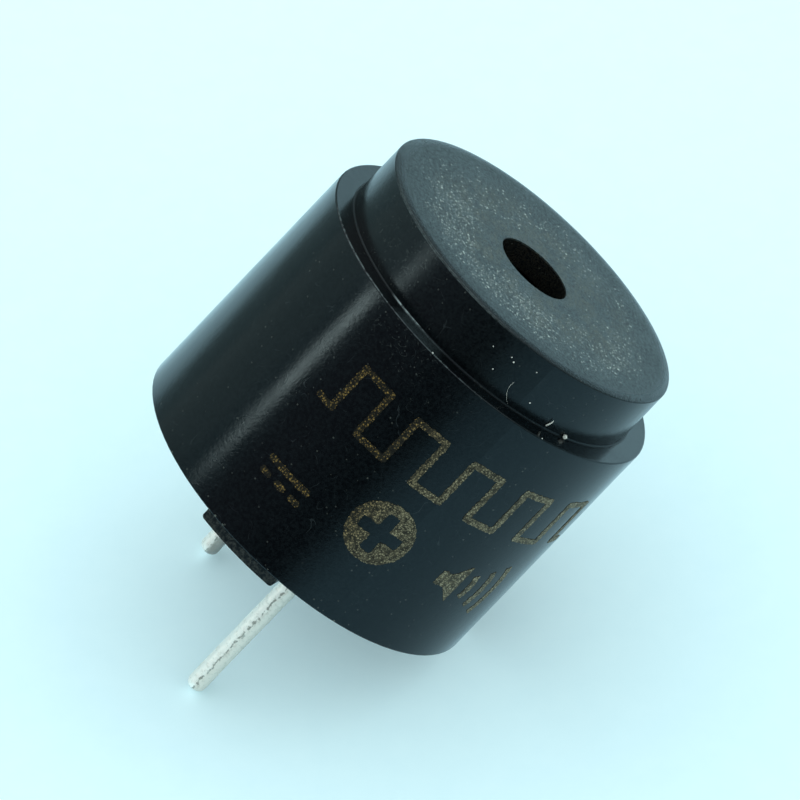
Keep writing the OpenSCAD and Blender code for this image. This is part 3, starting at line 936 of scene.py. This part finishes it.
def steady(x, y):
    """The sign for direct current: a line over three dashes."""
    rise, dash = LINE_RISE_MM, DASH_HALF_MM
    strokes = [stroke(x, y, (-LINE_HALF_MM, rise), (LINE_HALF_MM, rise))]
    for middle in (-DASH_PITCH_MM, 0, DASH_PITCH_MM):
        strokes.append(stroke(x, y, (middle - dash, -rise), (middle + dash, -rise)))
    return min(strokes)


SPEAKER_BACK_MM = -2.3
SPEAKER_NECK_MM = -1.75
SPEAKER_MOUTH_MM = -1.1
SPEAKER_NECK_HALF_MM = 0.35
SPEAKER_MOUTH_HALF_MM = 0.95
WAVE_RADII_MM = (1.3, 2.1, 2.9)
WAVE_HALF_ANGLE = math.radians(26)


def sound(x, y):
    """The sign for sound: a loudspeaker seen from the side and three arcs that spread from it."""
    back, neck, mouth = SPEAKER_BACK_MM, SPEAKER_NECK_MM, SPEAKER_MOUTH_MM
    flare = (SPEAKER_MOUTH_HALF_MM - SPEAKER_NECK_HALF_MM) / (mouth - neck)
    cone_edge = (abs(y) - SPEAKER_NECK_HALF_MM - flare * (x - neck)) / math.hypot(1, flare)
    cone = max(cone_edge, x - mouth, neck - x)
    box = bar(x - (back + neck) / 2, y, (neck - back) / 2, SPEAKER_NECK_HALF_MM)
    reach = math.hypot(x - neck, y)
    turn = abs(math.atan2(y, x - neck))
    waves = min(abs(reach - r) - STROKE_MM / 2 for r in WAVE_RADII_MM)
    return min(cone, box, max(waves, (turn - WAVE_HALF_ANGLE) * reach))


# Each mark's name, form and angle round the axis, and in millimetres its height and its field's half sizes.
MARKS = (
    ("polarity_mark", polarity, -6.3, 4.6, 1.6, 1.6),
    ("pulse_mark", pulses, 5.0, 8.1, 7.4, 1.4),
    ("steady_current_mark", steady, -35.5, 3.6, 1.3, 0.6),
    ("sound_mark", sound, 34.0, 4.3, 2.6, 1.5),
)


def outline_shift(shape, x, y):
    """How far a point near a shape's edge has to move to lie on it."""
    step = MARK_PROBE_MM
    slope_x = (shape(x + step, y) - shape(x - step, y)) / (2 * step)
    slope_y = (shape(x, y + step) - shape(x, y - step)) / (2 * step)
    steep = math.hypot(slope_x, slope_y) or 1
    reach = max(min(shape(x, y), MARK_REACH_MM), -MARK_REACH_MM)
    return -reach * slope_x / steep, -reach * slope_y / steep


def cells_within(shape, half_x, half_y):
    """The squares of a mark's grid whose middles lie inside its shape."""
    step = MARK_STEP_MM
    columns = range(math.ceil(-half_x / step), math.floor(half_x / step) + 1)
    rows = range(math.ceil(-half_y / step), math.floor(half_y / step) + 1)
    return {(i, j) for i in columns for j in rows if shape(i * step + step / 2, j * step + step / 2) < 0}


def add_mark(name, shape, turn_deg, z_mm, half_x, half_y, material):
    """A thin closed piece on the body's side, of the form where shape is below zero."""
    cells = cells_within(shape, half_x, half_y)
    corners = sorted({(i + a, j + b) for i, j in cells for a in (0, 1) for b in (0, 1)})
    shake = random.Random(name)
    points = []
    for i, j in corners:
        x, y = i * MARK_STEP_MM, j * MARK_STEP_MM
        if not {(i, j), (i - 1, j), (i, j - 1), (i - 1, j - 1)} <= cells:
            move_x, move_y = outline_shift(shape, x, y)
            x += move_x + shake.gauss(0, MARK_RAGGED_MM)
            y += move_y + shake.gauss(0, MARK_RAGGED_MM)
        z = z_mm + y
        turn = turn_deg + math.degrees(x / side_r(z))
        points += [around(turn, side_r(z) + lift, z) for lift in (MARK_LIFT_MM, -MARK_ROOT_MM)]
    spot = {corner: 2 * k for k, corner in enumerate(corners)}
    faces = []
    for i, j in sorted(cells):
        ring = [spot[i, j], spot[i + 1, j], spot[i + 1, j + 1], spot[i, j + 1]]
        faces.append(ring)
        faces.append([k + 1 for k in reversed(ring)])
        beside = ((i, j - 1), (i + 1, j), (i, j + 1), (i - 1, j))
        for k, other in enumerate(beside):
            if other not in cells:
                a, b = ring[k], ring[(k + 1) % 4]
                faces.append([b, a, a + 1, b + 1])
    mesh = bpy.data.meshes.new(name)
    mesh.from_pydata([tuple(p) for p in points], [], faces)
    add_piece(name, mesh, material)


def add_marks(material):
    """The polarity sign by the positive lead, and plain signs where the real part is printed."""
    for mark in MARKS:
        add_mark(*mark, material)


# ---------------------------------------------------------------- dust

THREAD_SIDES = 8
# A direction that no thread runs along, from which its rings are set out.
THREAD_SIDEWAYS = Vector((0.3, 0.2, 1))
# Threads that cling to the cap: each one's name, its places as angle, height and gap to the cap's side, and
# its radius at each place, in millimetres.
THREADS = (
    (
        "fibre",
        ((12.7, 11.66, 0.03), (13.0, 11.78, 0.06), (13.3, 11.91, 0.08), (13.3, 12.02, 0.08)),
        (0.04, 0.032, 0.024, 0.014),
    ),
    (
        "hair",
        (
            (-6.3, 12.46, 0.02), (-6.5, 12.28, 0.04), (-6.3, 12.1, 0.06),
            (-5.6, 11.92, 0.07), (-4.3, 11.74, 0.06), (-2.8, 11.58, 0.03),
        ),
        (0.003, 0.006, 0.004, 0.0045, 0.0045, 0.003),
    ),
)
# A grain of dust is a ball: how fine, how large without its dents, and how deep and how close they are.
CRUMB_FINENESS = 3
CRUMB_BODY = 0.85
CRUMB_DENTS = 0.3
DENTS_ROUND = 2.1
# Each grain's name and angle, and in millimetres its distance from the axis, its height and its size.
CRUMBS = (
    ("crumb", 21.5, 7.1, 11.61, 0.21),
    ("speck_ledge", 10.0, 7.85, 11.5, 0.05),
    ("speck_edge", -30.5, 7.86, 11.5, 0.07),
    ("speck_cap", 2.6, 7.0, 12.12, 0.07),
    ("speck_high", -3.0, 6.99, 13.3, 0.05),
    ("speck_twin", -10.8, 6.99, 13.07, 0.08),
    ("speck_twin_small", -12.3, 6.99, 13.18, 0.055),
    ("speck_low", -14.1, 7.0, 12.34, 0.06),
    ("speck_dark_side", -18.9, 6.99, 13.04, 0.05),
)


def tube(name, centres, radii):
    """A closed round thread along points in metres, with a radius at each."""
    points, faces = [], []
    last = len(centres) - 1
    for k, (centre, r) in enumerate(zip(centres, radii)):
        along = (centres[min(k + 1, last)] - centres[max(k - 1, 0)]).normalized()
        side = along.cross(THREAD_SIDEWAYS).normalized()
        other = along.cross(side)
        for n in range(THREAD_SIDES):
            turn = 2 * math.pi * n / THREAD_SIDES
            points.append(centre + (side * math.cos(turn) + other * math.sin(turn)) * r)
    for k in range(last):
        for n in range(THREAD_SIDES):
            a, b = k * THREAD_SIDES + n, k * THREAD_SIDES + (n + 1) % THREAD_SIDES
            faces.append([a, b, b + THREAD_SIDES, a + THREAD_SIDES])
    faces.append(list(range(THREAD_SIDES)))
    faces.append([last * THREAD_SIDES + n for n in range(THREAD_SIDES)])
    return mesh_of(name, points, faces)


def add_thread(name, places, radii_mm, material):
    """A fibre that clings to the cap, from places of angle, height and gap to the cap's side."""
    spots = [around(turn, side_r(z) + gap, z) for turn, z, gap in places]
    add_piece(name, tube(name, spots, [r * MM for r in radii_mm]), material)


def add_crumb(name, turn_deg, r_mm, z_mm, size_mm, material):
    """A grain of dust: a ball with dents."""
    own = Vector((turn_deg, 0, 0))
    work = bmesh.new()
    bmesh.ops.create_icosphere(work, subdivisions=CRUMB_FINENESS, radius=1)
    for v in work.verts:
        v.co *= (CRUMB_BODY + CRUMB_DENTS * noise.noise(v.co * DENTS_ROUND + own)) * size_mm / 2 * MM
    bmesh.ops.translate(work, verts=work.verts, vec=around(turn_deg, r_mm, z_mm))
    mesh = bpy.data.meshes.new(name)
    work.to_mesh(mesh)
    work.free()
    shade_smooth(mesh)
    add_piece(name, mesh, material)


def add_dust(material):
    """The few bits of dust that lie on the cap and at its foot."""
    for thread in THREADS:
        add_thread(*thread, material)
    for crumb in CRUMBS:
        add_crumb(*crumb, material)


# ---------------------------------------------------------------- leads

# A lead's radii and levels are those of the part's source.
LEAD_R_MM = MOUNTS["positive_pin"]["dims"]["r_mm"]
LEAD_TIP_R_MM = 0.3
LEAD_STEP_MM = 0.05
LEAD_SIDES = 48
TIP_RINGS = 6
SEAL_Z_MM = 0.75
FLARE_H_MM = 0.2
COLLAR_TOP_MM = 1.35
BARE_R_MM = 0.37
# The tin's slow waves, longer along the lead than across it, and its small pits: how deep and how close.
WAVE_MM = 0.014
WAVES_ACROSS_PER_MM = 1.6
WAVES_ALONG_PER_MM = 0.8
PIT_MM = 0.013
PITS_PER_MM = 7.5


def lead_profile(low_mm, high_mm, collar_r_mm):
    """Radius and height of a lead's rings, from the tip up."""
    rings = []
    for k in range(1, TIP_RINGS + 1):
        turn = math.radians(90 * k / TIP_RINGS)
        r = LEAD_R_MM - LEAD_TIP_R_MM + LEAD_TIP_R_MM * math.sin(turn)
        rings.append((r, low_mm + LEAD_TIP_R_MM * (1 - math.cos(turn))))
    start = rings[-1][1]
    steps = round((SEAL_Z_MM - start) / LEAD_STEP_MM)
    rings += [(LEAD_R_MM, start + (SEAL_Z_MM - start) * k / steps) for k in range(1, steps + 1)]
    rings += [(collar_r_mm, SEAL_Z_MM + FLARE_H_MM), (collar_r_mm, COLLAR_TOP_MM)]
    rings += [(BARE_R_MM, COLLAR_TOP_MM), (BARE_R_MM, high_mm)]
    return rings


def tin_depth(place_mm):
    """How far the tin lies below its even surface: slow waves and small pits."""
    across, along = WAVES_ACROSS_PER_MM, WAVES_ALONG_PER_MM
    wave = noise.noise(Vector((place_mm.x * across, place_mm.y * across, place_mm.z * along)))
    pit = noise.noise(place_mm * PITS_PER_MM)
    return WAVE_MM * wave + PIT_MM * pit


def add_lead(node, material):
    """A tinned lead with an uneven dip, which takes the place of the plain CAD one."""
    low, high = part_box(node)
    centre = (low + high) / 2
    rings = lead_profile(low.z / MM, high.z / MM, (high.x - low.x) / 2 / MM)
    points = [Vector((centre.x, centre.y, low.z))]
    for r, z in rings:
        for n in range(LEAD_SIDES):
            turn = 2 * math.pi * n / LEAD_SIDES
            place = Vector((r * math.cos(turn), r * math.sin(turn), z))
            if z < SEAL_Z_MM:
                place.xy *= 1 - tin_depth(place + Vector((centre.x / MM, 0, 0))) / LEAD_R_MM
            points.append(Vector((centre.x, centre.y, 0)) + place * MM)
    points.append(Vector((centre.x, centre.y, high.z)))
    faces = []
    for n in range(LEAD_SIDES):
        after = (n + 1) % LEAD_SIDES
        faces.append([0, 1 + after, 1 + n])
        for k in range(len(rings) - 1):
            a, b = 1 + k * LEAD_SIDES + n, 1 + k * LEAD_SIDES + after
            faces.append([a, b, b + LEAD_SIDES, a + LEAD_SIDES])
        end = 1 + (len(rings) - 1) * LEAD_SIDES
        faces.append([end + n, end + after, len(points) - 1])
    piece = add_piece(f"{node}_tinned", mesh_of(node, points, faces), material)
    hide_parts(node)


# ---------------------------------------------------------------- the scene

bpy.context.scene.view_settings.view_transform = "Standard"
add_camera()
add_floors()
add_world()
add_lights()
MATERIALS = make_materials()
dress(MATERIALS)
add_marks(laser_mark())
add_dust(lint())
for name in ("positive_lead", "negative_lead"):
    add_lead(name, MATERIALS["tin"])
